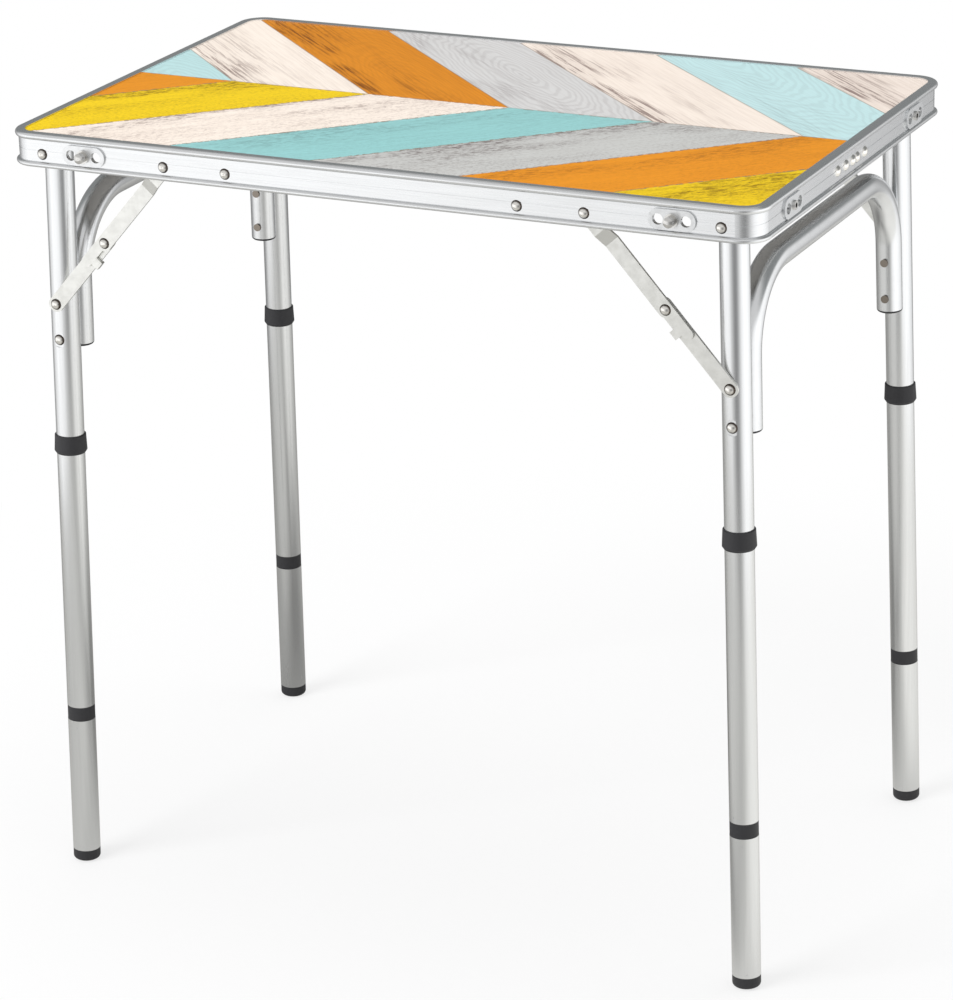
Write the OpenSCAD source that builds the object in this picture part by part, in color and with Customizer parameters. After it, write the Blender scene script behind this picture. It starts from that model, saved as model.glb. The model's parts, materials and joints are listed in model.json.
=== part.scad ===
// Folding camping table: a printed board in a bent aluminium rail, two hinged
// leg frames with knee braces, and legs in three plug-in sections.

/* [Table] */
// Length of the table along X
table_l = 600; // [560:5:660]
// Width of the table along Y
table_w = 380; // [370:5:420]
// Height of the rail's top above the floor
table_h = 598; // [590:1:620]

/* [Rail and board] */
// Height of the rail
rail_h = 26; // [26:0.5:28]
// Outer corner radius of the rail
rail_r = 20; // [18:1:30]
// Depth of the hollow between the two beads
web_in = 2.4; // [1.8:0.1:2.8]
// Wall of the rail
web_t = 2; // [1.8:0.1:2.2]
// Reach of the top lip over the board
lip_w = 7.5; // [6.5:0.5:10]
// Thickness of the top lip
lip_t = 1.3; // [1:0.1:1.5]
// Thickness of the board
board_t = 3; // [2.5:0.1:3.2]

/* [Legs] */
// Tube diameter of the legs
leg_d = 21.5; // [21:0.5:22.5]
// Wall of the leg tubes
leg_wall = 1.2; // [1:0.1:1.5]
// Tube diameter of the U-bar
bar_d = 20; // [19:0.5:21]
// Lean of the leg frames along X, in degrees
lean = 1.1; // [0.5:0.1:1.6]
// Splay of each leg along Y, in degrees
splay = 1; // [0.5:0.1:1.4]
// Length of the upper leg, from its pivot to the joint in the collar
leg_upper = 233; // [222:1:247]
// Height of the joint at the ring
ring_z = 121; // [105:1:130]
// Height of the foot that shows
foot_h = 9.4; // [8:0.2:12]

/* [Braces] */
// Width of the brace strips
strip_w = 12; // [11:0.5:13]
// Thickness of the brace strips
strip_t = 2; // [1.6:0.1:2.2]
// Head diameter of the rivets
head_d = 8.5; // [8:0.25:9.5]

/* [Hidden] */

alu = [0.86, 0.87, 0.88];
steel = [0.72, 0.72, 0.7];
dark = [0.12, 0.12, 0.13];
wood = [0.86, 0.78, 0.66];

touch = 0.02;
fit = 0.08;
slide = 0.3;
over = 1;

half_l = table_l / 2;
half_w = table_w / 2;
web_out = half_w - web_in;
web_back = web_out - web_t;
groove_in = web_in + web_t;
ledge_w = 11;
ledge_t = 1.5;
bead_h = 5.5;
foot_bead_h = 4.2;
line_w = 0.9;
line_deep = 0.2;
board_top = table_h - lip_t - touch;
board_low = board_top - board_t;
ledge_low = board_low - ledge_t;
board_gap = 0.25;
board_r = rail_r - groove_in - board_gap;

pivot_inset = 30;
pivot_drop = 16;
pivot_x = half_l - pivot_inset;
pivot_z = table_h - pivot_drop;
shank_d = 5.5;
head_h = 2.4;
tail_d = 6.2;
tail_h = 1.4;
spacer_d = 12;
leg_inset = 26;
leg_y = half_w - leg_inset;
leg_top = 8;
leg_cham = 4;
tilt = acos(cos(lean) * cos(splay));

rivet_a = 119.1;
rivet_b = 148;
flat_deep = 0.5;
flat_d = 12;

bar_drop = 47.6;
bar_r = 59;
bar_end = 158;
bar_hole_d = shank_d + 0.5;
plug_depth = 6;
plug_lip = 2;
bar_y = leg_y - (leg_d + bar_d) / 2 / cos(splay);
bar_zc = -bar_drop - bar_r;
bar_yc = bar_y - bar_zc * tan(splay) - bar_r / cos(splay);
bar_start = -bar_zc - bar_r * sin(splay);

brace_inset = 132.5;
brace_x = half_l - brace_inset;
link_ax = pivot_x + rivet_a * sin(lean);
link_az = pivot_z - rivet_a * cos(lean);
brace_dx = link_ax - brace_x;
brace_dz = pivot_z - link_az;
brace_len = sqrt(brace_dx * brace_dx + brace_dz * brace_dz);
brace_tip = atan2(brace_dz, brace_dx);
upper_share = 0.5518;
upper_len = brace_len * upper_share;
lower_len = brace_len - upper_len;
leg_face = leg_y + rivet_a * tan(splay) + leg_d / 2 / cos(splay);
low_y = leg_face + slide;
up_y = low_y + strip_t + slide;
step_y = web_back - up_y - strip_t - slide;
step_a = 17;
step_b = 27;
tail_len = 27;
tail_w = 8.4;
tab_a = 14;
tab_b = 21;
tab_deep = 1.6;
tab_gap = 0.4;
heel_len = 9;

joint_b = pivot_z - ring_z;
depth_a = leg_upper / cos(tilt);
depth_b = joint_b / cos(tilt);
foot_r = 3;
foot_d = leg_d - 0.2;
foot_flat = foot_d / 2 - foot_r;
depth_end = foot_r + (pivot_z - sin(tilt) * foot_flat - foot_r) / cos(tilt);
seat = 0.2;
collar_up = 7.5;
collar_down = 7.5;
collar_top_d = leg_d + 2.4;
collar_low_d = leg_d + 3.6;
collar_cham = 2;
ring_h = 11.5;
ring_d = leg_d - 0.2;
bore_d = leg_d - 2 * leg_wall;
peg_d = bore_d - 2 * fit;
peg_len = 40;
root_len = 30;
peg_wall = 2;
sleeve_wall = 1.6;
sleeve_len = 45;
thin_d = bore_d - 2 * sleeve_wall - 2 * fit;
thin_len = 40;
dot_d = 2.2;
dot_deep = 0.35;
ring_dot_rise = 4.5;
ring_dot_turn = 18;
top_dot_drop = 5;
top_dot_turn = 14;
end_dot_rise = 3.8;
end_dot_turn = 22;
foot_peg = 18;

plate_inset = 66;
plate_low_gap = 0.3;
plate_top_gap = 1;
plate_x = half_l - plate_inset;
plate_y = 125;
plate_w = rail_h - bead_h - foot_bead_h - plate_low_gap - plate_top_gap;
plate_z = table_h - rail_h + foot_bead_h + plate_low_gap + plate_w / 2;
plate_l = 35.6;
plate_t = 1.5;
plate_hole = 8;
plate_hole_gap = 10.5;
stud_flange = 10;
stud_flange_h = 1.8;
stud_neck = 5;
stud_d = 7.6;
stud_cap_h = 1.2;
stud_out = 9.5;
stud_tail = 7.2;
eye_d = 7;
eye_bore = 3.6;
eye_h = 1.6;

cross_x = 116.2;
cross_w = 20;
cross_h = 20;
cross_wall = 1.2;
cross_cut = 5;

seam_y = -0.5;
seam_w = 0.25;
splice_l = 92;
splice_h = 12;
splice_t = 1.5;
splice_shift = 8;
splice_at = [-35.6, -19.1, -4.9, 4, 19.5];

module dome(d, h) {
    cap_r = (d * d / 4 + h * h) / (2 * h);
    intersection() {
        translate([0, 0, h - cap_r]) sphere(r = cap_r);
        cylinder(h = h, d = d + over);
    }
}

module along_y(y, z) {
    translate([0, y, z]) rotate([-90, 0, 0]) children();
}

module corner(sx, sy) {
    mirror([sx < 0 ? 1 : 0, 0, 0]) mirror([0, sy < 0 ? 1 : 0, 0]) children();
}

module four() {
    corner(1, 1) children();
    corner(-1, 1) children();
    corner(1, -1) children();
    corner(-1, -1) children();
}

module frame_side() {
    translate([pivot_x, 0, pivot_z]) rotate([0, -lean, 0]) children();
}

module leg_line() {
    translate([0, leg_y, 0]) rotate([splay, 0, 0]) children();
}

module pipe(top, low, d, bore) {
    translate([0, 0, -low]) difference() {
        cylinder(h = low - top, d = d);
        translate([0, 0, -over]) cylinder(h = low - top + 2 * over, d = bore);
    }
}

module rounded(l, w, r) {
    square([l - 2 * r, w], center = true);
    square([l, w - 2 * r], center = true);
    for (x = [-1, 1], y = [-1, 1]) {
        translate([x * (l / 2 - r), y * (w / 2 - r)]) circle(r = r);
    }
}

module obround(l, w) {
    square([l - w, w], center = true);
    translate([-(l - w) / 2, 0]) circle(d = w);
    translate([(l - w) / 2, 0]) circle(d = w);
}

module rail_profile() {
    bead_r = bead_h / 2;
    difference() {
        union() {
            translate([bead_r, rail_h - bead_r]) circle(r = bead_r);
            polygon([[bead_r, rail_h], [lip_w - 1, rail_h - 0.1], [lip_w, rail_h - 0.5],
                [lip_w, rail_h - lip_t], [bead_r, rail_h - lip_t]]);
            translate([web_in, 1]) square([web_t, rail_h - 1 - lip_t]);
            translate([bead_r, rail_h - bead_h]) square([groove_in - bead_r, bead_h - lip_t]);
            translate([web_in, ledge_low - table_h + rail_h]) square([ledge_w - web_in, ledge_t]);
            translate([foot_bead_h / 2, foot_bead_h / 2]) circle(d = foot_bead_h);
            translate([foot_bead_h / 2, 0]) square([groove_in - foot_bead_h / 2, foot_bead_h]);
        }
        translate([groove_in, -over]) square([ledge_w, ledge_low - table_h + rail_h + over]);
        translate([groove_in, board_low - table_h + rail_h]) square([ledge_w, board_t + touch]);
        translate([web_in - over, rail_h / 2 - line_w / 2]) square([line_deep + over, line_w]);
    }
}

module rail_run(len) {
    translate([0, len / 2, 0]) rotate([90, 0, 0]) linear_extrude(height = len) {
        children();
    }
}

module rail_ring() {
    run_l = table_l - 2 * rail_r;
    run_w = table_w - 2 * rail_r;
    translate([0, 0, table_h - rail_h]) {
        for (a = [0, 180]) {
            rotate([0, 0, a]) translate([half_l, 0, 0]) mirror([1, 0, 0]) rail_run(run_w) {
                rail_profile();
            }
            rotate([0, 0, a + 90]) translate([half_w, 0, 0]) mirror([1, 0, 0]) rail_run(run_l) {
                rail_profile();
            }
        }
        for (x = [-1, 1], y = [-1, 1]) {
            corner_at(x, y);
        }
    }
}

module corner_at(x, y) {
    turn = x > 0 ? (y > 0 ? 0 : 270) : (y > 0 ? 90 : 180);
    translate([x * (half_l - rail_r), y * (half_w - rail_r), 0]) rotate([0, 0, turn]) {
        rotate_extrude(angle = 90) translate([rail_r, 0]) mirror([1, 0]) rail_profile();
    }
}

module long_side_holes(x, d) {
    for (sx = [-1, 1], sy = [-1, 1]) {
        mirror([0, sy < 0 ? 1 : 0, 0]) translate([sx * x, 0, 0]) along_y(web_back - over, pivot_z) {
            cylinder(h = web_t + 2 * over, d = d);
        }
    }
}

module plate_cuts() {
    translate([0, 0, -web_t - over]) linear_extrude(height = web_t + 2 * over) plate_openings();
}

module plate_openings() {
    translate([-plate_hole_gap, 0]) circle(d = plate_hole);
    translate([plate_hole_gap, 0]) circle(d = plate_hole);
    circle(d = stud_neck);
}

module long_places() {
    for (sx = [-1, 1], sy = [-1, 1]) {
        mirror([0, sy < 0 ? 1 : 0, 0]) translate([sx * plate_x, 0, 0]) along_y(web_out, plate_z) {
            children();
        }
    }
}

module short_places() {
    for (sx = [-1, 1], sy = [-1, 1]) {
        mirror([sx < 0 ? 1 : 0, 0, 0]) translate([half_l - web_in, sy * plate_y, plate_z]) {
            rotate([0, 0, -90]) rotate([-90, 0, 0]) children();
        }
    }
}

module splice_holes(d) {
    for (y = splice_at) {
        translate([half_l - groove_in - splice_t - over, y, plate_z]) rotate([0, 90, 0]) {
            cylinder(h = groove_in + splice_t + 2 * over, d = d);
        }
    }
}

module board() {
    color(wood) translate([0, 0, board_low]) linear_extrude(height = board_t) {
        inset = 2 * (groove_in + board_gap);
        rounded(table_l - inset, table_w - inset, board_r);
    }
}

module edge_rail() {
    color(alu) difference() {
        rail_ring();
        long_side_holes(pivot_x, shank_d);
        long_side_holes(brace_x, shank_d);
        long_side_holes(cross_x, shank_d);
        splice_holes(shank_d);
        long_places() plate_cuts();
        short_places() plate_cuts();
        translate([half_l - ledge_w - over, seam_y - seam_w / 2, table_h - rail_h - over]) {
            cube([ledge_w + 2 * over, seam_w, rail_h + 2 * over]);
        }
    }
}

module splice_plate() {
    color(alu) difference() {
        translate([half_l - groove_in - splice_t, -splice_l / 2 - splice_shift, plate_z - splice_h / 2]) {
            cube([splice_t, splice_l, splice_h]);
        }
        splice_holes(shank_d);
    }
}

module splice_rivets() {
    tail_x = half_l - groove_in - splice_t;
    color(steel) for (y = splice_at) {
        translate([tail_x - tail_h, y, plate_z]) rotate([0, 90, 0]) {
            cylinder(h = tail_h, d = tail_d);
            cylinder(h = tail_h + splice_t + web_t, d = shank_d);
            translate([0, 0, tail_h + splice_t + web_t]) dome(head_d, head_h);
        }
    }
}

module cross_bars() {
    bar_span = 2 * web_back - 2 * touch;
    color(alu) for (sx = [-1, 1]) {
        translate([sx * cross_x, 0, ledge_low - cross_h]) difference() {
            translate([-cross_w / 2, -bar_span / 2, 0]) cube([cross_w, bar_span, cross_h]);
            translate([-cross_w / 2 + cross_wall, -bar_span / 2 + cross_wall, -over]) {
                cube([cross_w - 2 * cross_wall, bar_span - 2 * cross_wall, cross_h - cross_wall + over]);
            }
            for (sy = [-1, 1]) {
                mirror([0, sy < 0 ? 1 : 0, 0]) along_y(web_back - cross_cut, pivot_z - ledge_low + cross_h) {
                    cylinder(h = 2 * cross_cut, d = shank_d);
                }
            }
        }
    }
}

module web_rivet(back, back_d, back_h) {
    along_y(web_back - back, 0) {
        cylinder(h = back + web_t, d = shank_d);
        translate([0, 0, -back_h]) cylinder(h = back_h, d = back_d);
        translate([0, 0, back + web_t]) dome(head_d, head_h);
    }
}

module cross_rivets() {
    color(steel) four() translate([cross_x, 0, pivot_z]) {
        web_rivet(cross_wall + touch, tail_d, tail_h);
    }
}

module pivot_rivets() {
    back = web_back - leg_y + leg_d / 2 + slide;
    color(steel) four() translate([pivot_x, 0, pivot_z]) {
        web_rivet(back, head_d, tail_h);
    }
}

module pivot_spacers() {
    face = leg_y + leg_d / 2 + slide;
    color(dark) four() translate([pivot_x, 0, pivot_z]) along_y(face, 0) difference() {
        cylinder(h = web_back - face, d = spacer_d);
        translate([0, 0, -over]) cylinder(h = web_back - face + 2 * over, d = shank_d);
    }
}

module brace_rivets() {
    back = slide + strip_t + slide;
    color(steel) four() translate([brace_x, 0, pivot_z]) {
        web_rivet(back, head_d, tail_h);
    }
}

module corner_plate() {
    linear_extrude(height = plate_t) difference() {
        obround(plate_l, plate_w);
        plate_openings();
    }
}

module corner_plates() {
    color(alu) {
        long_places() corner_plate();
        short_places() corner_plate();
    }
}

module long_studs() {
    body_h = stud_out - stud_cap_h;
    color(steel) long_places() {
        translate([0, 0, -web_t - tail_h]) cylinder(h = tail_h, d = stud_tail);
        translate([0, 0, -web_t]) cylinder(h = web_t + plate_t, d = stud_neck);
        translate([0, 0, plate_t]) cylinder(h = stud_flange_h, d = stud_flange);
        translate([0, 0, plate_t]) cylinder(h = body_h - plate_t, d = stud_d);
        translate([0, 0, body_h]) dome(stud_d, stud_cap_h);
    }
}

module short_studs() {
    color(steel) short_places() difference() {
        union() {
            translate([0, 0, -web_t - tail_h]) cylinder(h = tail_h, d = stud_tail);
            translate([0, 0, -web_t]) cylinder(h = web_t + plate_t, d = stud_neck);
            translate([0, 0, plate_t]) cylinder(h = eye_h, d = eye_d);
        }
        translate([0, 0, -web_t - tail_h - over]) {
            cylinder(h = web_t + tail_h + plate_t + eye_h + 2 * over, d = eye_bore);
        }
    }
}

module leg_part() {
    face_a = leg_face - flat_deep;
    face_b = leg_face + (rivet_b - rivet_a) * tan(splay) - flat_deep;
    difference() {
        leg_line() difference() {
            pipe(-leg_top, depth_a, leg_d, bore_d);
            for (a = [0, 180]) {
                rotate([0, 0, a]) translate([leg_d / 2 - leg_cham, -leg_d, leg_top]) {
                    rotate([0, 45, 0]) cube([2 * leg_cham, 2 * leg_d, 2 * leg_cham]);
                }
            }
        }
        along_y(leg_y - leg_d, 0) cylinder(h = 2 * leg_d, d = shank_d + 2 * fit);
        along_y(leg_y - leg_d, -rivet_a) cylinder(h = 2 * leg_d, d = shank_d);
        along_y(leg_y - leg_d, -rivet_b) cylinder(h = 2 * leg_d, d = shank_d);
        along_y(face_a, -rivet_a) cylinder(h = leg_d, d = flat_d);
        along_y(face_b, -rivet_b) cylinder(h = leg_d, d = flat_d);
    }
}

module leg_tube(sx, sy) {
    color(alu) corner(sx, sy) frame_side() leg_part();
}

module bar_shape(d, extra) {
    limb_h = (bar_end - bar_start) / cos(splay);
    translate([0, bar_yc, -bar_drop]) rotate([90, 0, 0]) cylinder(h = 2 * bar_yc, d = d);
    for (sy = [-1, 1]) {
        mirror([0, sy < 0 ? 1 : 0, 0]) {
            translate([0, bar_yc, bar_zc]) rotate([90, 0, 90]) rotate([0, 0, splay]) {
                rotate_extrude(angle = 90 - splay) translate([bar_r, 0]) circle(d = d);
            }
            translate([0, bar_y, 0]) rotate([splay, 0, 0]) translate([0, 0, -bar_end / cos(splay) - extra]) {
                cylinder(h = limb_h + extra, d = d);
            }
        }
    }
}

module u_bar(sx) {
    color(alu) corner(sx, 1) frame_side() difference() {
        bar_shape(bar_d, 0);
        bar_shape(bar_d - 2 * leg_wall, over);
        for (sy = [-1, 1]) {
            mirror([0, sy < 0 ? 1 : 0, 0]) {
                along_y(bar_y - bar_d, -rivet_a) cylinder(h = 2 * bar_d, d = bar_hole_d);
                along_y(bar_y - bar_d, -rivet_b) cylinder(h = 2 * bar_d, d = bar_hole_d);
            }
        }
    }
}

module u_plugs(sx) {
    low = bar_end / cos(splay) + touch;
    color(dark) corner(sx, 1) frame_side() for (sy = [-1, 1]) {
        mirror([0, sy < 0 ? 1 : 0, 0]) translate([0, bar_y, 0]) rotate([splay, 0, 0]) {
            translate([0, 0, -low]) cylinder(h = plug_depth, d = bar_d - 2 * leg_wall - 2 * fit);
            translate([0, 0, -low]) rotate([180, 0, 0]) rotate_extrude() {
                square([bar_d / 2 - plug_lip, plug_lip]);
                translate([bar_d / 2 - plug_lip, 0]) intersection() {
                    circle(r = plug_lip);
                    square([plug_lip, plug_lip]);
                }
            }
        }
    }
}

module cross_rivet(drop, out_y) {
    in_y = bar_y + drop * tan(splay) - bar_d / 2 / cos(splay);
    along_y(in_y - tail_h, -drop) {
        cylinder(h = tail_h, d = tail_d);
        cylinder(h = out_y - in_y + tail_h, d = shank_d);
        translate([0, 0, out_y - in_y + tail_h]) dome(head_d, head_h);
    }
}

module frame_rivets(sx) {
    face_b = leg_face + (rivet_b - rivet_a) * tan(splay) - flat_deep;
    color(steel) corner(sx, 1) frame_side() for (sy = [-1, 1]) {
        mirror([0, sy < 0 ? 1 : 0, 0]) {
            cross_rivet(rivet_a, low_y + strip_t + slide);
            cross_rivet(rivet_b, face_b);
        }
    }
}

module collars(sx) {
    color(dark) corner(sx, 1) frame_side() for (sy = [-1, 1]) {
        mirror([0, sy < 0 ? 1 : 0, 0]) leg_line() translate([0, 0, -depth_a]) rotate_extrude() {
            polygon([[leg_d / 2 + touch, collar_up], [collar_top_d / 2 - 0.6, collar_up],
                [collar_top_d / 2, collar_up - 0.6], [collar_low_d / 2, collar_cham - collar_down],
                [leg_d / 2 + fit + 0.4, -collar_down], [leg_d / 2 + fit, -collar_down],
                [leg_d / 2 + fit, 0], [leg_d / 2 + touch, 0]]);
        }
    }
}

module link_up_part() {
    far = up_y + step_y;
    translate([brace_x, 0, pivot_z]) rotate([0, brace_tip, 0]) difference() {
        union() {
            intersection() {
                translate([0, 0, -strip_w]) linear_extrude(height = 2 * strip_w) polygon([
                    [-strip_w, far], [step_a, far], [step_b, up_y], [upper_len + 2 * tail_len, up_y],
                    [upper_len + 2 * tail_len, up_y + strip_t], [step_b + 0.4, up_y + strip_t],
                    [step_a + 0.4, far + strip_t], [-strip_w, far + strip_t]]);
                translate([0, half_w + strip_w, 0]) rotate([90, 0, 0]) linear_extrude(height = half_w) {
                    link_up_outline();
                }
            }
            translate([upper_len + tab_a, low_y + strip_t - tab_deep, -strip_w / 2 - tab_gap - strip_t]) {
                cube([tab_b - tab_a, up_y + strip_t - low_y - strip_t + tab_deep, strip_t]);
            }
        }
        along_y(web_back - leg_d, 0) cylinder(h = leg_d, d = shank_d + 2 * fit);
        translate([upper_len, 0, 0]) along_y(web_back - leg_d, 0) cylinder(h = leg_d, d = shank_d);
    }
}

module link_up_outline() {
    circle(d = strip_w);
    translate([0, -strip_w / 2]) square([upper_len, strip_w]);
    translate([upper_len, 0]) circle(d = strip_w);
    translate([upper_len, strip_w / 2 - tail_w]) square([tail_len - tail_w / 2, tail_w]);
    translate([upper_len + tail_len - tail_w / 2, strip_w / 2 - tail_w / 2]) circle(d = tail_w);
    translate([upper_len + tab_a, -strip_w / 2 - tab_gap - strip_t]) {
        square([tab_b - tab_a, strip_w / 2 + tab_gap + strip_t]);
    }
}

module link_up(sx, sy) {
    color(steel) corner(sx, sy) link_up_part();
}

module link_low_part() {
    heel = lower_len + heel_len - strip_w / 2;
    translate([link_ax, 0, link_az]) rotate([0, brace_tip, 0]) difference() {
        translate([0, low_y + strip_t, 0]) rotate([90, 0, 0]) linear_extrude(height = strip_t) {
            circle(d = strip_w);
            translate([-heel, -strip_w / 2]) square([heel, strip_w]);
            translate([-heel, 0]) circle(d = strip_w);
        }
        along_y(low_y - over, 0) cylinder(h = strip_t + 2 * over, d = shank_d + 2 * fit);
        translate([-lower_len, 0, 0]) along_y(low_y - over, 0) {
            cylinder(h = strip_t + 2 * over, d = shank_d + 2 * fit);
        }
    }
}

module link_low(sx, sy) {
    color(steel) corner(sx, sy) link_low_part();
}

module knee(sx, sy) {
    color(steel) corner(sx, sy) translate([brace_x, 0, pivot_z]) rotate([0, brace_tip, 0]) {
        translate([upper_len, 0, 0]) along_y(up_y, 0) {
            cylinder(h = strip_t, d = shank_d);
            translate([0, 0, strip_t]) dome(head_d, head_h);
        }
    }
}

module on_leg(sx, sy) {
    corner(sx, sy) frame_side() leg_line() children();
}

module dot(drop, turn) {
    rotate([0, 0, turn]) translate([0, leg_d / 2 - dot_deep, -drop]) rotate([-90, 0, 0]) {
        cylinder(h = over, d = dot_d);
    }
}

module mid_tube(sx, sy) {
    color(alu) on_leg(sx, sy) difference() {
        pipe(depth_a + seat, depth_b - ring_h, leg_d, bore_d);
        dot(depth_b - ring_h - ring_dot_rise, sx * ring_dot_turn);
    }
}

module mid_plug(sx, sy) {
    color(dark) on_leg(sx, sy) {
        pipe(depth_a - peg_len, depth_a + seat, peg_d, peg_d - 2 * peg_wall);
        pipe(depth_a + seat, depth_a + root_len, bore_d - 2 * touch, bore_d - 2 * peg_wall);
    }
}

module ring(sx, sy) {
    sleeve_d = bore_d - 2 * sleeve_wall;
    color(dark) on_leg(sx, sy) {
        pipe(depth_b - ring_h, depth_b - seat, ring_d, sleeve_d);
        pipe(depth_b - ring_h - sleeve_len, depth_b - ring_h, bore_d - 2 * touch, sleeve_d);
    }
}

module low_tube(sx, sy) {
    color(alu) on_leg(sx, sy) difference() {
        pipe(depth_b, depth_end - foot_h, leg_d, bore_d);
        dot(depth_b + top_dot_drop, -sx * top_dot_turn);
        dot(depth_end - foot_h - end_dot_rise, -sx * end_dot_turn);
    }
}

module low_plug(sx, sy) {
    color(dark) on_leg(sx, sy) {
        pipe(depth_b - thin_len, depth_b, thin_d, thin_d - 2 * peg_wall);
        pipe(depth_b, depth_b + root_len, bore_d - 2 * touch, bore_d - 2 * peg_wall);
    }
}

module foot(sx, sy) {
    low = depth_end;
    color(dark) on_leg(sx, sy) translate([0, 0, -low]) rotate_extrude() {
        square([foot_d / 2 - foot_r, foot_h]);
        translate([foot_d / 2 - foot_r, foot_r]) square([foot_r, foot_h - foot_r]);
        translate([foot_d / 2 - foot_r, foot_r]) intersection() {
            circle(r = foot_r);
            translate([0, -foot_r]) square([foot_r, foot_r]);
        }
        translate([0, foot_h]) square([bore_d / 2 - touch, foot_peg]);
    }
}

board();
edge_rail();
splice_plate();
splice_rivets();
cross_bars();
cross_rivets();
pivot_rivets();
pivot_spacers();
brace_rivets();
corner_plates();
long_studs();
short_studs();
leg_tube(-1, -1);  // leg_fl
leg_tube(-1, 1);  // leg_bl
leg_tube(1, -1);  // leg_fr
leg_tube(1, 1);  // leg_br
u_bar(-1);  // u_bar_l
u_bar(1);  // u_bar_r
u_plugs(-1);  // u_plugs_l
u_plugs(1);  // u_plugs_r
frame_rivets(-1);  // frame_rivets_l
frame_rivets(1);  // frame_rivets_r
collars(-1);  // collars_l
collars(1);  // collars_r
link_up(-1, -1);  // link_up_fl
link_up(-1, 1);  // link_up_bl
link_up(1, -1);  // link_up_fr
link_up(1, 1);  // link_up_br
link_low(-1, -1);  // link_low_fl
link_low(-1, 1);  // link_low_bl
link_low(1, -1);  // link_low_fr
link_low(1, 1);  // link_low_br
knee(-1, -1);  // knee_fl
knee(-1, 1);  // knee_bl
knee(1, -1);  // knee_fr
knee(1, 1);  // knee_br
mid_tube(-1, -1);  // mid_tube_fl
mid_tube(-1, 1);  // mid_tube_bl
mid_tube(1, -1);  // mid_tube_fr
mid_tube(1, 1);  // mid_tube_br
mid_plug(-1, -1);  // mid_plug_fl
mid_plug(-1, 1);  // mid_plug_bl
mid_plug(1, -1);  // mid_plug_fr
mid_plug(1, 1);  // mid_plug_br
ring(-1, -1);  // ring_fl
ring(-1, 1);  // ring_bl
ring(1, -1);  // ring_fr
ring(1, 1);  // ring_br
low_tube(-1, -1);  // low_tube_fl
low_tube(-1, 1);  // low_tube_bl
low_tube(1, -1);  // low_tube_fr
low_tube(1, 1);  // low_tube_br
low_plug(-1, -1);  // low_plug_fl
low_plug(-1, 1);  // low_plug_bl
low_plug(1, -1);  // low_plug_fr
low_plug(1, 1);  // low_plug_br
foot(-1, -1);  // foot_fl
foot(-1, 1);  // foot_bl
foot(1, -1);  // foot_fr
foot(1, 1);  // foot_br
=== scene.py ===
# Folding camping table: printed board, anodised rail and tubes, knee braces, studio.
import json
import math
import bmesh
import bpy
from mathutils import Matrix, Vector


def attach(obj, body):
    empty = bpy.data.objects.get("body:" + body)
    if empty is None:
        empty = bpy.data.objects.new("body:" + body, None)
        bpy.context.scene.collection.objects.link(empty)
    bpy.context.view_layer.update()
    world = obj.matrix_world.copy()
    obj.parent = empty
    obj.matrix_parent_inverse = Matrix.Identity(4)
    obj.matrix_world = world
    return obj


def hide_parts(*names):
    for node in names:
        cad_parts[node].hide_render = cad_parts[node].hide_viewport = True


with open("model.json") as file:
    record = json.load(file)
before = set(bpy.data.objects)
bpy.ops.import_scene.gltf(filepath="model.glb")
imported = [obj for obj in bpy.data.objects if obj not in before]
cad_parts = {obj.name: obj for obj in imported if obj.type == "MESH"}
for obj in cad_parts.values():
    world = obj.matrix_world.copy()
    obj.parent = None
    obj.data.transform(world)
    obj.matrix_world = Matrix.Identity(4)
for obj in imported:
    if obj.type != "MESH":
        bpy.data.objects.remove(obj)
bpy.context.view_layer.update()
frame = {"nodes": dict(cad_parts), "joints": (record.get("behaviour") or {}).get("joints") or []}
cadNodes = frame["nodes"]
corners = ("fl", "bl", "fr", "br")


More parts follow.
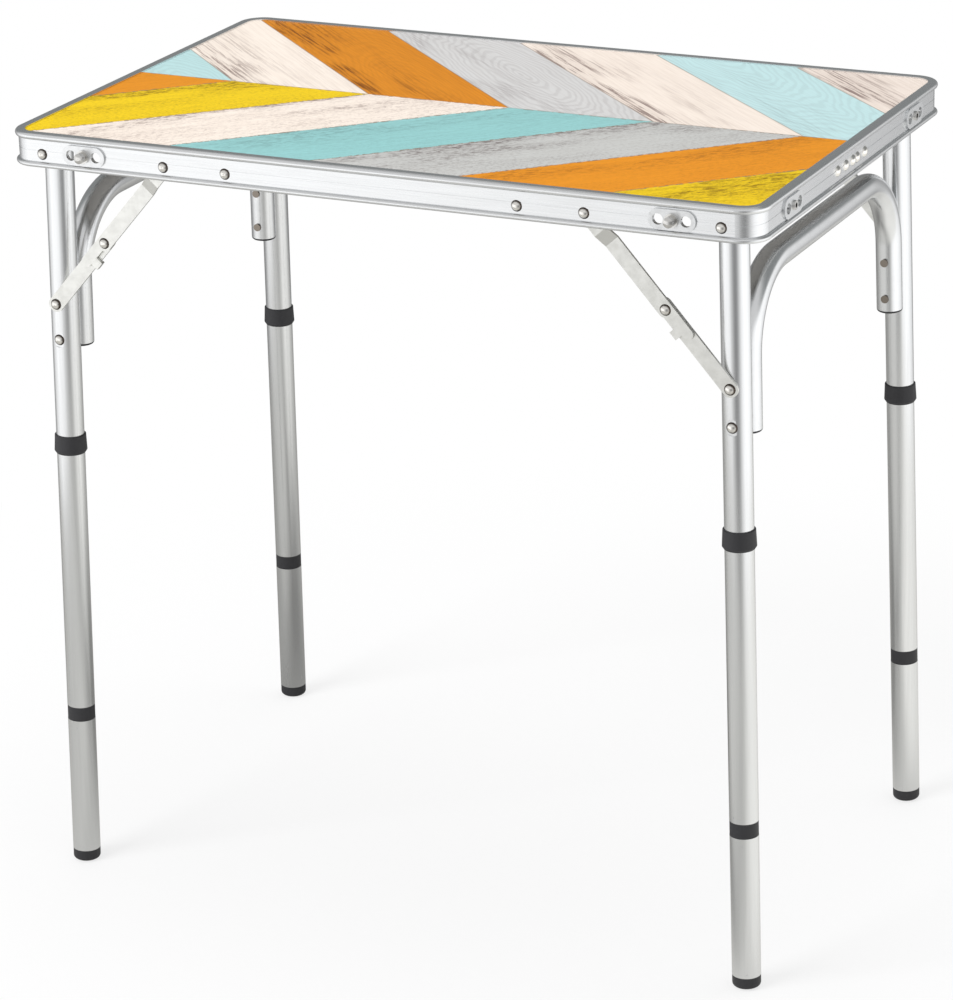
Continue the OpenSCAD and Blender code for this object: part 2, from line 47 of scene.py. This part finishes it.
class Tree:
    # Short calls for building one shader tree.
    def __init__(self, tree):
        self.tree = tree
        self.nodes = tree.nodes

    def put(self, socket, value):
        if isinstance(value, bpy.types.NodeSocket):
            self.tree.links.new(value, socket)
        elif value is not None:
            socket.default_value = value

    def add(self, kind, inputs=None, **settings):
        made = self.nodes.new(kind)
        for name, value in settings.items():
            setattr(made, name, value)
        for name, value in (inputs or {}).items():
            self.put(made.inputs[name], value)
        return made

    def math(self, operation, first, second=None, third=None, clamp=False):
        made = self.add("ShaderNodeMath", operation=operation, use_clamp=clamp)
        for place, value in enumerate((first, second, third)):
            self.put(made.inputs[place], value)
        return made.outputs[0]

    def plus(self, first, second):
        return self.math("ADD", first, second)

    def minus(self, first, second):
        return self.math("SUBTRACT", first, second)

    def times(self, first, second, clamp=False):
        return self.math("MULTIPLY", first, second, clamp=clamp)

    def either(self, choice, off, on):
        # The number off where choice is 0, and on where it is 1.
        return self.math("MULTIPLY_ADD", choice, on - off, off)

    def blend(self, amount, first, second, mode="MIX"):
        made = self.add("ShaderNodeMix", data_type="RGBA", blend_type=mode)
        self.put(made.inputs[0], amount)
        self.put(made.inputs[6], first)
        self.put(made.inputs[7], second)
        return made.outputs[2]

    def tint(self, amount, colour, shade):
        return self.blend(amount, colour, self.blend(1.0, colour, shade, "MULTIPLY"))

    def noise(self, vector, scale, detail=2.0, roughness=0.5):
        made = self.add("ShaderNodeTexNoise", {"Vector": vector, "Scale": scale, "Detail": detail,
                        "Roughness": roughness})
        return made.outputs["Fac"]

    def split(self, vector):
        made = self.add("ShaderNodeSeparateXYZ", {"Vector": vector})
        return made.outputs[0], made.outputs[1], made.outputs[2]

    def join(self, x, y, z):
        made = self.add("ShaderNodeCombineXYZ")
        for place, value in enumerate((x, y, z)):
            self.put(made.inputs[place], value)
        return made.outputs[0]

    def steps(self, value, low, high, lowOut=0.0, highOut=1.0):
        made = self.add("ShaderNodeMapRange", {"Value": value, "From Min": low, "From Max": high,
                        "To Min": lowOut, "To Max": highOut}, interpolation_type="SMOOTHSTEP")
        return made.outputs[0]

    def ramp(self, value, stops, interpolation):
        # Stops are pairs of a place from 0 to 1 and a colour.
        made = self.add("ShaderNodeValToRGB", {"Fac": value})
        bar = made.color_ramp
        bar.interpolation = interpolation
        for index, (place, colour) in enumerate(stops):
            stop = bar.elements[index] if index < 2 else bar.elements.new(place)
            stop.position = place
            stop.color = (*colour, 1.0)
        return made.outputs["Color"]


def newMaterial(name, settings):
    material = bpy.data.materials.new(name)
    material.use_nodes = True
    tree = Tree(material.node_tree)
    shader = material.node_tree.nodes["Principled BSDF"]
    for socket, value in settings.items():
        shader.inputs[socket].default_value = value
    place = tree.add("ShaderNodeTexCoord").outputs["Object"]
    return material, tree, shader, place


def newGroup(name, inputs, outputs):
    # A node group with its sockets, its tree, its input node and its output node.
    group = bpy.data.node_groups.new(name, "ShaderNodeTree")
    for way, sockets in (("INPUT", inputs), ("OUTPUT", outputs)):
        for socket, kind in sockets.items():
            group.interface.new_socket(socket, in_out=way, socket_type="NodeSocket" + kind)
    tree = Tree(group)
    return group, tree, tree.add("NodeGroupInput").outputs, tree.add("NodeGroupOutput").inputs


def newObject(name, mesh, material):
    piece = bpy.data.objects.new(name, mesh)
    mesh.materials.append(material)
    bpy.context.scene.collection.objects.link(piece)
    return piece


def dress(nodes, material):
    for name in nodes:
        mesh = cadNodes[name].data
        mesh.materials.clear()
        mesh.materials.append(material)


# Board: a chevron of painted planks pointing to +X, printed on the top face.
board = {
    "roughness": 0.45,
    "specular": 0.10,
    "pitch": 0.1174,
    "firstTip": -0.212,
    "slope": 0.95,
    # The lists start with the cut plank left of the first tip, and are read in the middle of a step.
    "listShift": 1.5,
    # A colour for each plank, from the left.
    "nearColours": [(0.76, 0.28, 0.012), (0.875, 0.615, 0.006), (0.93, 0.83, 0.74), (0.305, 0.604, 0.604),
                    (0.57, 0.575, 0.56), (0.80, 0.295, 0.012), (0.865, 0.60, 0.006)],
    "farColours": [(0.49, 0.71, 0.72), (0.93, 0.835, 0.745), (0.71, 0.255, 0.012), (0.655, 0.65, 0.645),
                   (0.90, 0.80, 0.715), (0.54, 0.755, 0.77), (0.86, 0.76, 0.685)],
    # The wear of each plank: worn streaks, growth rings, fine fibre.
    "nearWear": [(0.30, 0.0, 0.5), (1.00, 0.0, 0.9), (1.00, 0.0, 0.9), (0.40, 0.35, 0.7),
                 (1.00, 0.0, 1.0), (0.50, 0.2, 0.8), (1.00, 0.0, 1.0)],
    "farWear": [(0.10, 0.7, 0.4), (1.00, 0.0, 0.8), (1.00, 0.5, 1.0), (0.35, 1.0, 0.5),
                (1.00, 0.0, 0.8), (0.25, 0.7, 0.4), (1.00, 0.0, 0.9)],
    # Noise moves on by this much from plank to plank, and from the near half to the far half.
    "plankSeed": 3.7,
    "halfSeed": 11.3,
    # Grains: cells to the metre along a plank and across it, then detail and roughness.
    "fibreGrain": (26.0, 620.0, 3.0, 0.6),
    "nearDashes": 125.0,
    "farDashes": 18.0,
    "dashGrain": (1.0, 460.0, 4.0, 0.65),
    "patchGrain": (9.0, 38.0, 2.0, 0.5),
    "weaveGrain": (330.0, 640.0, 2.0, 0.6),
    "bendGrain": (14.0, 40.0, 2.0, 0.5),
    # Streaks: how they thin out across the plank, in which patches, and how dark they are.
    "edgeRange": (0.02, 0.75, 1.0, 0.12),
    "patchRange": (0.36, 0.60),
    "dashRange": (0.47, 0.60),
    "haze": 0.16,
    "weaveRange": (0.50, 0.62),
    "weavePatch": (0.25, 0.60, 0.45, 1.0),
    "canvas": 0.34,
    "streakTint": (0.36, 0.31, 0.31, 1.0),
    # Growth rings: middle and flatness of the arches, lines to the metre, waver and strength.
    "archLength": (0.07, 0.22),
    "archAcross": (0.55, 0.08),
    "ringCount": 300.0,
    "ringWaver": 5.0,
    "ringRange": (0.10, 0.32, 1.0, 0.0),
    "ringStrength": 0.34,
    "ringTint": (0.70, 0.68, 0.68, 1.0),
    "fibreRange": (0.35, 0.72),
    "fibreStrength": 0.30,
    "fibreTint": (0.66, 0.60, 0.56, 1.0),
    # Seams: half widths, the near half's breaks and the far half's strength.
    "seamWidth": 0.0009,
    "nearSeamWidth": 0.0017,
    "seamEdge": 0.4,
    "seamBreaks": 240.0,
    "breakRange": (0.46, 0.56, 0.08, 0.85),
    "farSeam": 0.5,
    "seamColour": (0.24, 0.17, 0.12, 1.0),
    # Painted shade: the unprinted faces get a dark grey that stands in for the shade under the table.
    "backingShade": [(0.26, 0.25, 0.235, 1.0), (0.31, 0.30, 0.28, 1.0)],
    "backingGrain": 400.0,
    "bump": {"Strength": 0.06, "Distance": 0.0004},
}


def boardMaterial():
    material, tree, shader, place = newMaterial(
        "printedBoard", {"Roughness": board["roughness"], "Specular IOR Level": board["specular"]})
    x, y, z = tree.split(place)
    side = tree.math("ABSOLUTE", y)
    far = tree.math("GREATER_THAN", y, 0.0)

    # Which plank, and how far across it from 0 to 1.
    tip = tree.plus(x, tree.math("DIVIDE", side, board["slope"]))
    turned = tree.math("DIVIDE", tree.minus(tip, board["firstTip"]), board["pitch"])
    index = tree.math("FLOOR", turned)
    across = tree.minus(turned, index)
    count = len(board["nearColours"])
    pick = tree.math("DIVIDE", tree.plus(index, board["listShift"]), float(count))

    def byPlank(key):
        halves = [tree.ramp(pick, [(n / count, row) for n, row in enumerate(board[half + key])], "CONSTANT")
                  for half in ("near", "far")]
        return tree.blend(far, *halves)

    colour = byPlank("Colours")
    worn, rings, fibre = tree.split(byPlank("Wear"))

    # Plank coordinates: length runs outward from the spine, width crosses the plank.
    norm = math.hypot(1.0, board["slope"])
    length = tree.minus(tree.times(side, board["slope"] / norm), tree.times(x, 1.0 / norm))
    width = tree.plus(tree.times(x, board["slope"] / norm), tree.times(side, 1.0 / norm))
    seed = tree.plus(tree.times(index, board["plankSeed"]), tree.times(far, board["halfSeed"]))

    def grain(key, along=length):
        alongScale, acrossScale, detail, roughness = board[key]
        cells = tree.join(tree.times(along, alongScale), tree.times(width, acrossScale), seed)
        return tree.noise(cells, 1.0, detail, roughness)

    # Dashes are short on the near half and long on the far half.
    fine = grain("fibreGrain")
    dash = grain("dashGrain", tree.times(length, tree.either(far, board["nearDashes"], board["farDashes"])))
    patch = grain("patchGrain")

    # Worn streaks lie thickest along the plank's inner edge.
    group = tree.times(tree.steps(patch, *board["patchRange"]), tree.steps(across, *board["edgeRange"]))
    mark = tree.times(tree.steps(dash, *board["dashRange"]), group)
    # The near half also has a canvas speckle all over.
    weave = tree.steps(grain("weaveGrain"), *board["weaveRange"])
    speckle = tree.times(weave, tree.steps(patch, *board["weavePatch"]))
    speckle = tree.times(speckle, tree.either(far, board["canvas"], 0.0))
    streak = tree.plus(mark, tree.plus(tree.times(group, board["haze"]), speckle))
    colour = tree.tint(tree.times(streak, worn, clamp=True), colour, board["streakTint"])

    # Growth rings as long nested arches.
    squares = [tree.math("POWER", tree.times(tree.minus(value, middle), flat), 2.0)
               for value, (middle, flat) in ((length, board["archLength"]), (across, board["archAcross"]))]
    arch = tree.math("SQRT", tree.plus(*squares))
    waver = tree.times(grain("bendGrain"), board["ringWaver"])
    turn = tree.math("FRACT", tree.plus(tree.times(arch, board["ringCount"]), waver))
    ringLine = tree.steps(tree.math("ABSOLUTE", tree.minus(turn, 0.5)), *board["ringRange"])
    ringLine = tree.times(ringLine, tree.times(rings, board["ringStrength"]))
    colour = tree.tint(ringLine, colour, board["ringTint"])
    fibreMark = tree.times(tree.times(fibre, board["fibreStrength"]), tree.steps(fine, *board["fibreRange"]))
    colour = tree.tint(fibreMark, colour, board["fibreTint"])

    # A dark line where planks meet: broken on the near half, thin on the far half.
    plankWidth = board["pitch"] * board["slope"] / norm
    toSeam = tree.times(tree.math("MINIMUM", across, tree.minus(1.0, across)), plankWidth)
    toSeam = tree.math("MINIMUM", toSeam, side)
    seamReach = tree.either(far, board["nearSeamWidth"], board["seamWidth"])
    atSeam = tree.steps(tree.math("DIVIDE", toSeam, seamReach), board["seamEdge"], 1.0, 1.0, 0.0)
    breaks = tree.noise(tree.join(tree.times(length, board["seamBreaks"]), seed, 0.0), 1.0)
    broken = tree.times(tree.steps(breaks, *board["breakRange"]), tree.minus(1.0, far))
    strength = tree.plus(broken, tree.times(far, board["farSeam"]))
    colour = tree.blend(tree.times(atSeam, strength), colour, board["seamColour"])

    # Only the upper face is printed: the rest gets a dark grey backing, painted shade that stands in for the
    # shade under the table.
    up = tree.split(tree.add("ShaderNodeNewGeometry").outputs["Normal"])[2]
    printed = tree.math("GREATER_THAN", up, 0.5)
    # Painted shade on the unprinted faces.
    shadedBacking = tree.blend(tree.noise(place, board["backingGrain"], 3.0), *board["backingShade"])
    tree.put(shader.inputs["Base Color"], tree.blend(printed, shadedBacking, colour))
    bump = tree.add("ShaderNodeBump", dict(board["bump"], Height=fine))
    tree.put(shader.inputs["Normal"], bump.outputs[0])
    return material


print("board material")
dress(["board"], boardMaterial())


# Metals. Lines are cells to the metre along X, Y and Z; spread is the roughness's, depth the bump's.
aluminium = (0.83, 0.84, 0.85, 1.0)
zinc = (0.84, 0.84, 0.81, 1.0)
nickel = (0.70, 0.69, 0.67, 1.0)
metals = {
    "tubeMetal": {"colour": aluminium, "roughness": 0.24, "lines": (700.0, 700.0, 12.0),
                  "spread": 0.02, "depth": 0.02},
    "bentMetal": {"colour": aluminium, "roughness": 0.24, "lines": (90.0, 90.0, 90.0),
                  "spread": 0.015, "depth": 0.0},
    "railMetal": {"colour": aluminium, "roughness": 0.27, "lines": (25.0, 25.0, 900.0),
                  "spread": 0.03, "depth": 0.04},
    "plateMetal": {"colour": aluminium, "roughness": 0.38, "lines": (300.0, 300.0, 300.0),
                   "spread": 0.05, "depth": 0.05},
    "stripMetal": {"colour": zinc, "roughness": 0.4, "lines": (160.0, 160.0, 160.0),
                   "spread": 0.06, "depth": 0.10},
    "studMetal": {"colour": nickel, "roughness": 0.2, "lines": (220.0, 220.0, 220.0),
                  "spread": 0.03, "depth": 0.02},
}
drawn = {
    "detail": 4.0,
    "roughness": 0.6,
    "lineRange": (0.3, 0.7),
    "cloud": 9.0,
    "cloudRange": (0.3, 0.7, -0.02, 0.02),
    "dull": (0.97, 0.97, 0.97, 1.0),
    "dullRange": (0.35, 0.75),
    "bumpDistance": 0.0002,
}


def makeDrawnLines():
    # Fine lines along the drawing direction, with a slight cloud in the roughness.
    group, tree, given, out = newGroup(
        "drawnLines",
        {"Place": "Vector", "Stretch": "Vector", "Base": "Float", "Spread": "Float", "Colour": "Color"},
        {"Colour": "Color", "Roughness": "Float", "Height": "Float"})
    mapped = tree.add("ShaderNodeMapping", {"Vector": given["Place"], "Scale": given["Stretch"]}).outputs[0]
    lines = tree.noise(mapped, 1.0, drawn["detail"], drawn["roughness"])
    cloud = tree.steps(tree.noise(given["Place"], drawn["cloud"]), *drawn["cloudRange"])
    low = tree.minus(given["Base"], given["Spread"])
    high = tree.plus(given["Base"], given["Spread"])
    tree.put(out["Roughness"], tree.plus(tree.steps(lines, *drawn["lineRange"], low, high), cloud))
    dulled = tree.steps(lines, *drawn["dullRange"])
    tree.put(out["Colour"], tree.tint(dulled, given["Colour"], drawn["dull"]))
    tree.put(out["Height"], lines)
    return group


drawnLines = makeDrawnLines()


def metalMaterial(name):
    metal = metals[name]
    material, tree, shader, place = newMaterial(name, {"Metallic": 1.0})
    given = {"Place": place, "Stretch": metal["lines"], "Base": metal["roughness"],
             "Spread": metal["spread"], "Colour": metal["colour"]}
    made = tree.add("ShaderNodeGroup", given, node_tree=drawnLines).outputs
    tree.put(shader.inputs["Roughness"], made["Roughness"])
    tree.put(shader.inputs["Base Color"], made["Colour"])
    bump = tree.add("ShaderNodeBump", {"Strength": metal["depth"], "Distance": drawn["bumpDistance"],
                    "Height": made["Height"]})
    tree.put(shader.inputs["Normal"], bump.outputs[0])
    return material


print("metal and plastic")
tubeMetal, bentMetal, railMetal = (metalMaterial(name) for name in ("tubeMetal", "bentMetal", "railMetal"))
plateMetal, stripMetal, studMetal = (metalMaterial(name) for name in ("plateMetal", "stripMetal", "studMetal"))

# Rivets: bright heads painted dark brown towards the rim, painted shade and dark reflection where the dome
# turns away. Rim and centre are the share of the normal along the rivet.
rivet = {
    "roughness": 0.17,
    "head": (0.90, 0.88, 0.84, 1.0),
    # Painted shade: the colour the dome turns to towards its rim.
    "rimShade": (0.07, 0.055, 0.045, 1.0),
    "tail": (0.24, 0.21, 0.18, 1.0),
    "spots": 900.0,
    "uneven": 0.12,
    "alongY": {"axis": 1, "rim": 0.66, "centre": 0.88},
    "alongX": {"axis": 0, "rim": 0.13, "centre": 0.27},
}


def makeDomeRimShade():
    # Domed heads: bright in the middle, with painted shade darkening them to brown towards the rim.
    group, tree, given, out = newGroup(
        "domeRimShade",
        {"Place": "Vector", "Facing": "Float", "Rim": "Float", "Centre": "Float"},
        {"Colour": "Color"})
    spots = tree.minus(tree.noise(given["Place"], rivet["spots"]), 0.5)
    # Painted shade mask: how squarely the dome faces along the rivet, made a little uneven by noise.
    worn = tree.plus(given["Facing"], tree.times(spots, rivet["uneven"]))
    bright = tree.steps(worn, given["Rim"], given["Centre"])
    tree.put(out["Colour"], tree.blend(bright, rivet["rimShade"], rivet["head"]))
    return group


domeRimShade = makeDomeRimShade()


def rivetMaterial(name, way):
    axis = way["axis"]
    material, tree, shader, place = newMaterial(name, {"Metallic": 1.0, "Roughness": rivet["roughness"]})
    normal = tree.split(tree.add("ShaderNodeNewGeometry").outputs["Normal"])[axis]
    facing = tree.math("ABSOLUTE", normal)
    given = {"Place": place, "Facing": facing, "Rim": way["rim"], "Centre": way["centre"]}
    head = tree.add("ShaderNodeGroup", given, node_tree=domeRimShade).outputs["Colour"]
    # The set tails, on the side that faces the middle of the table, get a dark brown colour.
    inward = tree.math("LESS_THAN", tree.times(tree.split(place)[axis], normal), 0.0)
    tree.put(shader.inputs["Base Color"], tree.blend(inward, head, rivet["tail"]))
    return material


rivetMetal = rivetMaterial("rivetMetal", rivet["alongY"])
spliceMetal = rivetMaterial("spliceMetal", rivet["alongX"])

# Dark matt mouldings.
plastic = {
    "shader": {"Base Color": (0.030, 0.030, 0.033, 1.0), "Specular IOR Level": 0.4},
    "grain": (1500.0, 3.0, 0.6),
    "roughRange": (0.3, 0.7, 0.44, 0.56),
    "bump": {"Strength": 0.12, "Distance": 0.0002},
}


def plasticMaterial():
    material, tree, shader, place = newMaterial("darkPlastic", plastic["shader"])
    grain = tree.noise(place, *plastic["grain"])
    tree.put(shader.inputs["Roughness"], tree.steps(grain, *plastic["roughRange"]))
    bump = tree.add("ShaderNodeBump", dict(plastic["bump"], Height=grain))
    tree.put(shader.inputs["Normal"], bump.outputs[0])
    return material


darkPlastic = plasticMaterial()
dress(["edge_rail", "splice_plate"], railMetal)
dress(["cross_bars"], tubeMetal)
dress(["corner_plates"], plateMetal)
dress(["cross_rivets", "pivot_rivets", "brace_rivets", "frame_rivets_l", "frame_rivets_r"], rivetMetal)
dress(["splice_rivets"], spliceMetal)
dress(["long_studs", "short_studs"], studMetal)
dress(["pivot_spacers", "u_plugs_l", "u_plugs_r", "collars_l", "collars_r"], darkPlastic)
for place in corners:
    dress(["leg_" + place, "mid_tube_" + place, "low_tube_" + place], tubeMetal)
    dress(["link_up_" + place, "link_low_" + place], stripMetal)
    dress(["knee_" + place], rivetMetal)
    dress(["mid_plug_" + place, "ring_" + place, "low_plug_" + place, "foot_" + place], darkPlastic)


# U-bars: one smooth bent tube each, swept along the CAD bar's own path. Lengths run from the leg's pivot.
bar = {
    "width": 0.020,
    "wall": 0.0012,
    "legWidth": 0.0215,
    "legSide": 0.164,
    "drop": 0.0476,
    "bend": 0.059,
    "end": 0.158,
    "lean": math.radians(1.1),
    "splay": math.radians(1.0),
    "bendSteps": 32,
    "sides": 48,
}


def barPath():
    # Centre line from low end to low end: side, height and the angle of the outward normal.
    splay, bend, end = bar["splay"], bar["bend"], bar["end"]
    side = bar["legSide"] - (bar["legWidth"] + bar["width"]) / 2 / math.cos(splay)
    heart = -bar["drop"] - bend
    heartSide = side - heart * math.tan(splay) - bend / math.cos(splay)
    half = []
    for step in range(bar["bendSteps"] + 1):
        turn = math.pi / 2 - (math.pi / 2 - splay) * step / bar["bendSteps"]
        half.append((heartSide + bend * math.cos(turn), heart + bend * math.sin(turn), turn))
    half.append((side + end * math.tan(splay), -end, splay))
    return [(-y, z, math.pi - turn) for y, z, turn in reversed(half)] + half


def makeBar(name, node, body, way):
    pivot = Vector(next(joint["pos_m"] for joint in frame["joints"] if joint["child"] == body))
    lean = Matrix.Rotation(-way * bar["lean"], 3, "Y")
    path, sides = barPath(), bar["sides"]
    tube = bmesh.new()
    shells = []
    for radius in (bar["width"] / 2, bar["width"] / 2 - bar["wall"]):
        rings = []
        for y, z, turn in path:
            outward = Vector((0.0, math.cos(turn), math.sin(turn)))
            ring = []
            for k in range(sides):
                angle = 2 * math.pi * k / sides
                spot = Vector((way * radius * math.sin(angle), y, z)) + outward * (radius * math.cos(angle))
                ring.append(tube.verts.new(pivot + lean @ spot))
            rings.append(ring)
        shells.append(rings)
    outer, inner = shells
    ends = [(outer[0], inner[0]), (outer[-1], inner[-1])]
    for first, second in [pair for rings in shells for pair in zip(rings, rings[1:])] + ends:
        for k in range(sides):
            after = (k + 1) % sides
            tube.faces.new((first[k], first[after], second[after], second[k])).smooth = True
    for ring in ends[0] + ends[1]:
        for k in range(sides):
            tube.edges.get((ring[k], ring[(k + 1) % sides])).smooth = False
    bmesh.ops.recalc_face_normals(tube, faces=tube.faces)
    mesh = bpy.data.meshes.new(name)
    tube.to_mesh(mesh)
    tube.free()
    piece = newObject(name, mesh, bentMetal)
    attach(piece, body)
    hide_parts(node)


print("bent tubes")
makeBar("bentTubeLeft", "u_bar_l", "frame_l", -1)
makeBar("bentTubeRight", "u_bar_r", "frame_r", 1)


# Studio: a pale floor that fades to white, soft lamps, and a tent that only the metal reflects.
studio = {
    "floorRadius": 6.0,
    "floorDrop": 0.0004,
    "floorShader": {"Base Color": (0.95, 0.95, 0.955, 1.0), "Roughness": 0.9},
    # The camera sees the floor turn to white over this range, from this share of white.
    "fadeRange": (0.35, 0.9, 0.74, 1.0),
    # What metal sees of the floor, a painted reflection: lighter to the right, and darker under the table as
    # painted shadow.
    "floorShine": (0.98, 0.97, 0.93, 1.0),
    "shineSide": (-0.5, 0.6, 0.52, 0.84),
    "shineShare": 0.45,
    "shineBase": 0.60,
    "underHeart": (0.02, 0.06, 0.0),
    "underRange": (0.12, 0.46, 0.58, 1.0),
    "tentRadius": 1.25,
    "tentTop": 2.4,
    "tentSides": 96,
    # Brightness around the tent: degrees from the front towards +X, then the level.
    "around": [(-180, 0.26), (-150, 0.22), (-120, 0.24), (-96, 0.42), (-74, 0.98), (-50, 1.26),
               (-30, 1.22), (-10, 1.10), (6, 0.68), (22, 0.34), (33, 0.24), (43, 0.42),
               (54, 0.86), (66, 1.18), (84, 1.30), (106, 1.22), (124, 1.05), (137, 0.92),
               (143, 0.80), (147, 0.56), (151, 0.42), (162, 0.36), (180, 0.26)],
    # The tent's upper part, above this height, at the back and at the front.
    "upperRange": (0.62, 0.85),
    "upperBack": (0.25, 0.26, 0.26, 1.0),
    "upperFront": (0.70, 0.70, 0.70, 1.0),
    "frontRange": (0.2, -0.5),
    "worldLevel": 0.5,
    "lampAim": (0, 0, 0.4),
    "lamps": {
        "keyLight": {"where": (-1.6, -2.4, 2.6), "size": 1.8, "watts": 80.0},
        "topLight": {"where": (0.3, 0.6, 3.2), "size": 2.4, "watts": 32.0},
    },
}


def makeAroundLevel():
    # Level of the tent in the direction of a point, as a smooth ring of stops.
    group, tree, given, out = newGroup("aroundLevel", {"Place": "Vector"}, {"Level": "Float"})
    x, y, z = tree.split(given["Place"])
    turned = tree.math("ARCTAN2", x, tree.times(y, -1.0))
    share = tree.plus(tree.math("DIVIDE", turned, 2.0 * math.pi), 0.5)
    stops = [(degrees / 360.0 + 0.5, (level, level, level)) for degrees, level in studio["around"]]
    tree.put(out["Level"], tree.split(tree.ramp(share, stops, "EASE"))[0])
    return group


aroundGroup = makeAroundLevel()


def aroundLevel(tree, place):
    return tree.add("ShaderNodeGroup", {"Place": place}, node_tree=aroundGroup).outputs["Level"]


def makeFloor():
    mesh = bpy.data.meshes.new("floor")
    reach = studio["floorRadius"]
    outline = [(-reach, -reach, 0), (reach, -reach, 0), (reach, reach, 0), (-reach, reach, 0)]
    mesh.from_pydata(outline, [], [(0, 1, 2, 3)])
    material, tree, shader, place = newMaterial("floorPaint", studio["floorShader"])
    path = tree.add("ShaderNodeLightPath").outputs
    distance = tree.add("ShaderNodeVectorMath", {0: place}, operation="LENGTH").outputs["Value"]
    fade = tree.times(tree.steps(distance, *studio["fadeRange"]), path["Is Camera Ray"])
    white = tree.add("ShaderNodeEmission", {"Color": (1, 1, 1, 1), "Strength": 1.0})
    seen = tree.add("ShaderNodeMixShader", {0: fade, 1: shader.outputs[0], 2: white.outputs[0]})

    x, y, z = tree.split(place)
    level = tree.plus(tree.times(aroundLevel(tree, place), studio["shineShare"]), studio["shineBase"])
    level = tree.times(tree.steps(x, *studio["shineSide"]), level)
    # Painted shadow in the reflected floor: darker towards the point under the table.
    ends = {0: tree.join(x, y, 0.0), 1: studio["underHeart"]}
    under = tree.add("ShaderNodeVectorMath", ends, operation="DISTANCE").outputs["Value"]
    level = tree.times(level, tree.steps(under, *studio["underRange"]))
    shine = tree.add("ShaderNodeEmission", {"Color": studio["floorShine"], "Strength": level})
    looks = {0: path["Is Glossy Ray"], 1: seen.outputs[0], 2: shine.outputs[0]}
    both = tree.add("ShaderNodeMixShader", looks)
    tree.put(tree.nodes["Material Output"].inputs["Surface"], both.outputs[0])
    floor = newObject("floor", mesh, material)
    floor.location = (0, 0, -studio["floorDrop"])


def makeTent():
    radius, top, sides = studio["tentRadius"], studio["tentTop"], studio["tentSides"]
    turns = [2 * math.pi * k / sides for k in range(sides)]
    points = [(radius * math.sin(turn), radius * math.cos(turn), z) for z in (0.0, top) for turn in turns]
    faces = [(k, (k + 1) % sides, (k + 1) % sides + sides, k + sides) for k in range(sides)]
    mesh = bpy.data.meshes.new("tent")
    mesh.from_pydata(points, [], faces)
    material = bpy.data.materials.new("tentCloth")
    material.use_nodes = True
    tree = Tree(material.node_tree)
    place = tree.add("ShaderNodeTexCoord").outputs["Object"]
    x, y, z = tree.split(place)
    upper = tree.blend(tree.steps(y, *studio["frontRange"]), studio["upperBack"], studio["upperFront"])
    level = aroundLevel(tree, place)
    colour = tree.blend(tree.steps(z, *studio["upperRange"]), tree.join(level, level, level), upper)
    glow = tree.add("ShaderNodeEmission", {"Color": colour, "Strength": 1.0})
    tree.put(tree.nodes["Material Output"].inputs["Surface"], glow.outputs[0])
    tent = newObject("tent", mesh, material)
    for sight in ("camera", "diffuse", "transmission", "volume_scatter", "shadow"):
        setattr(tent, "visible_" + sight, False)


def makeWorld():
    # White for the camera and dimmer for all else.
    world = bpy.data.worlds.new("studioWorld")
    bpy.context.scene.world = world
    world.use_nodes = True
    tree = Tree(world.node_tree)
    path = tree.add("ShaderNodeLightPath").outputs
    background = tree.nodes["Background"].inputs
    tree.put(background["Color"], (1, 1, 1, 1))
    tree.put(background["Strength"], tree.either(path["Is Camera Ray"], studio["worldLevel"], 1.0))


def makeLamp(name, lamp):
    data = bpy.data.lights.new(name, "AREA")
    data.size = lamp["size"]
    data.energy = lamp["watts"]
    light = bpy.data.objects.new(name, data)
    light.location = lamp["where"]
    toAim = Vector(studio["lampAim"]) - Vector(lamp["where"])
    light.rotation_euler = toAim.to_track_quat("-Z", "Y").to_euler()
    light.visible_glossy = False
    bpy.context.scene.collection.objects.link(light)


print("studio")
makeFloor()
makeTent()
makeWorld()
for lampName, lamp in studio["lamps"].items():
    makeLamp(lampName, lamp)

# Camera: fitted to the photograph. Angles in degrees, lengths in metres, the picture in pixels.
view = {
    "azimuth": 25.85,
    "elevation": 20.05,
    "roll": -1.598,
    "distance": 2.9893,
    "height": 0.32,
    "sensorWidth": 36.0,
    "focalPixels": 3862.5,
    "centreX": 490.64,
    "centreY": 451.67,
    "width": 953,
    "tall": 1000,
}


def makeCamera():
    turn, rise, tip = (math.radians(view[key]) for key in ("azimuth", "elevation", "roll"))
    back = Vector((math.sin(turn) * math.cos(rise), -math.cos(turn) * math.cos(rise), math.sin(rise)))
    right = (-back).cross(Vector((0, 0, 1))).normalized()
    up = right.cross(-back)
    rolledRight = right * math.cos(tip) + up * math.sin(tip)
    rolledUp = -right * math.sin(tip) + up * math.cos(tip)
    data = bpy.data.cameras.new("photoCamera")
    data.sensor_width = view["sensorWidth"]
    data.lens = view["focalPixels"] * view["sensorWidth"] / view["tall"]
    data.shift_x = (view["width"] / 2 - view["centreX"]) / view["tall"]
    data.shift_y = (view["centreY"] - view["tall"] / 2) / view["tall"]
    camera = bpy.data.objects.new("photoCamera", data)
    turned = Matrix((rolledRight, rolledUp, back)).transposed().to_4x4()
    where = Vector((0, 0, view["height"])) + back * view["distance"]
    camera.matrix_world = Matrix.Translation(where) @ turned
    bpy.context.scene.collection.objects.link(camera)
    bpy.context.scene.camera = camera


print("camera")
makeCamera()
bpy.context.scene.view_settings.view_transform = "Standard"
